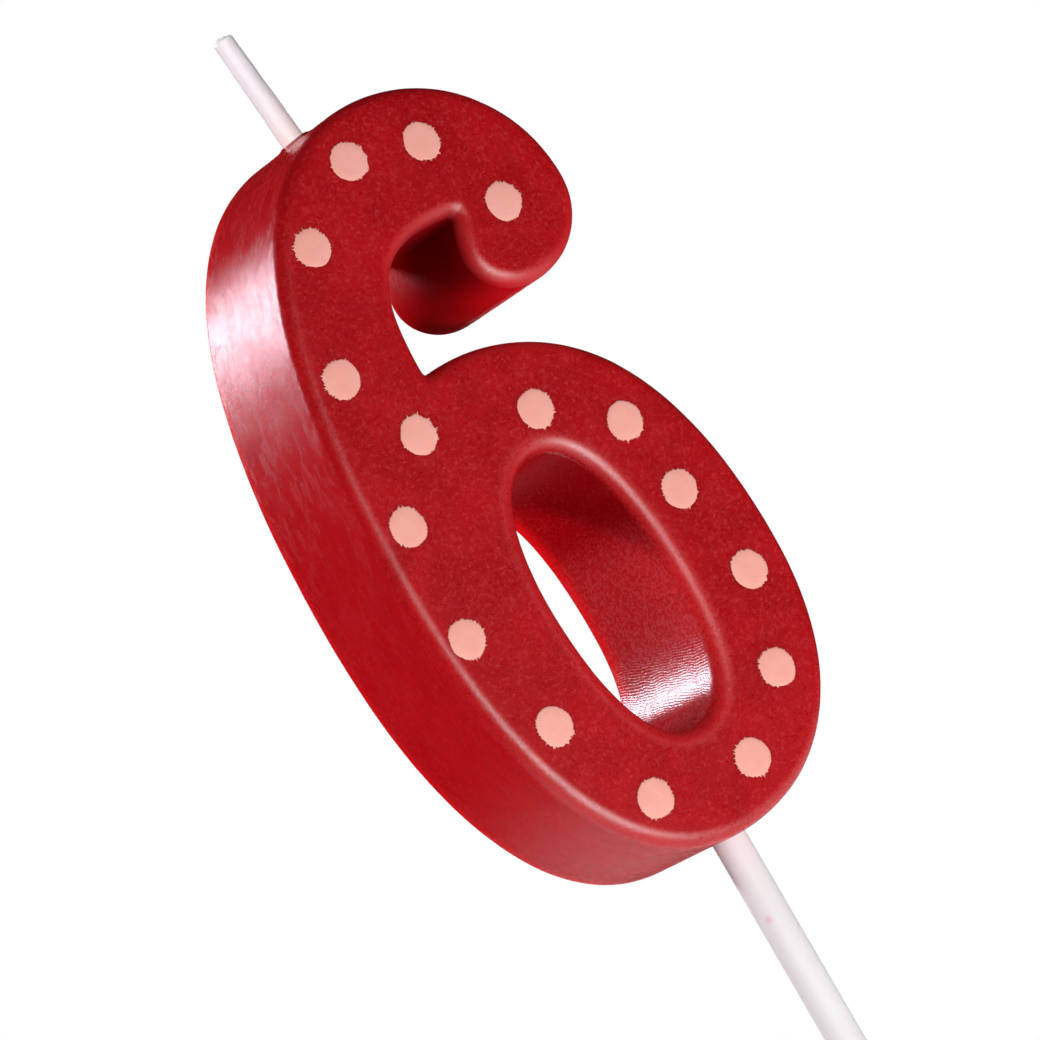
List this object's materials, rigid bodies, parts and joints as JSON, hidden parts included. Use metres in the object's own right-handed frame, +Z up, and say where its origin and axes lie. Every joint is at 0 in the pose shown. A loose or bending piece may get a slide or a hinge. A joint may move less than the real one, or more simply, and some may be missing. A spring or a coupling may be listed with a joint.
{
  "type": "number birthday candle",
  "caption": "Flat wax candle in the shape of the numeral 6 with raised dots on its face, a waxed wick in its crown and a pointed pick under its foot for standing it in a cake.",
  "frame": {"origin": "on the pick's axis, level with the foot of the numeral, which is where the top of the cake comes", "axes": "+Z up along the pick, from its point to the numeral; the decorated face looks along -Y; +X to the right seen from the front"},
  "size_m": [0.035, 0.0151, 0.1247],
  "materials": {
    "body_wax": null,
    "dot_wax": "matt opaque pink wax",
    "wick_wax": "satin translucent white wax",
    "wick_cotton": "braided cotton",
    "pick_plastic": "satin white moulded plastic"
  },
  "bodies": {
    "root": {"numeral_body": "body_wax", "wick_core": "wick_cotton", "wick_coat": "wick_wax", "pick": "pick_plastic", "dot_01": "dot_wax", "dot_02": "dot_wax", "dot_03": "dot_wax", "dot_04": "dot_wax", "dot_05": "dot_wax", "dot_06": "dot_wax", "dot_07": "dot_wax", "dot_08": "dot_wax", "dot_09": "dot_wax", "dot_10": "dot_wax", "dot_11": "dot_wax", "dot_12": "dot_wax", "dot_13": "dot_wax", "dot_14": "dot_wax", "dot_15": "dot_wax", "dot_16": "dot_wax"}
  },
  "joints": []
}
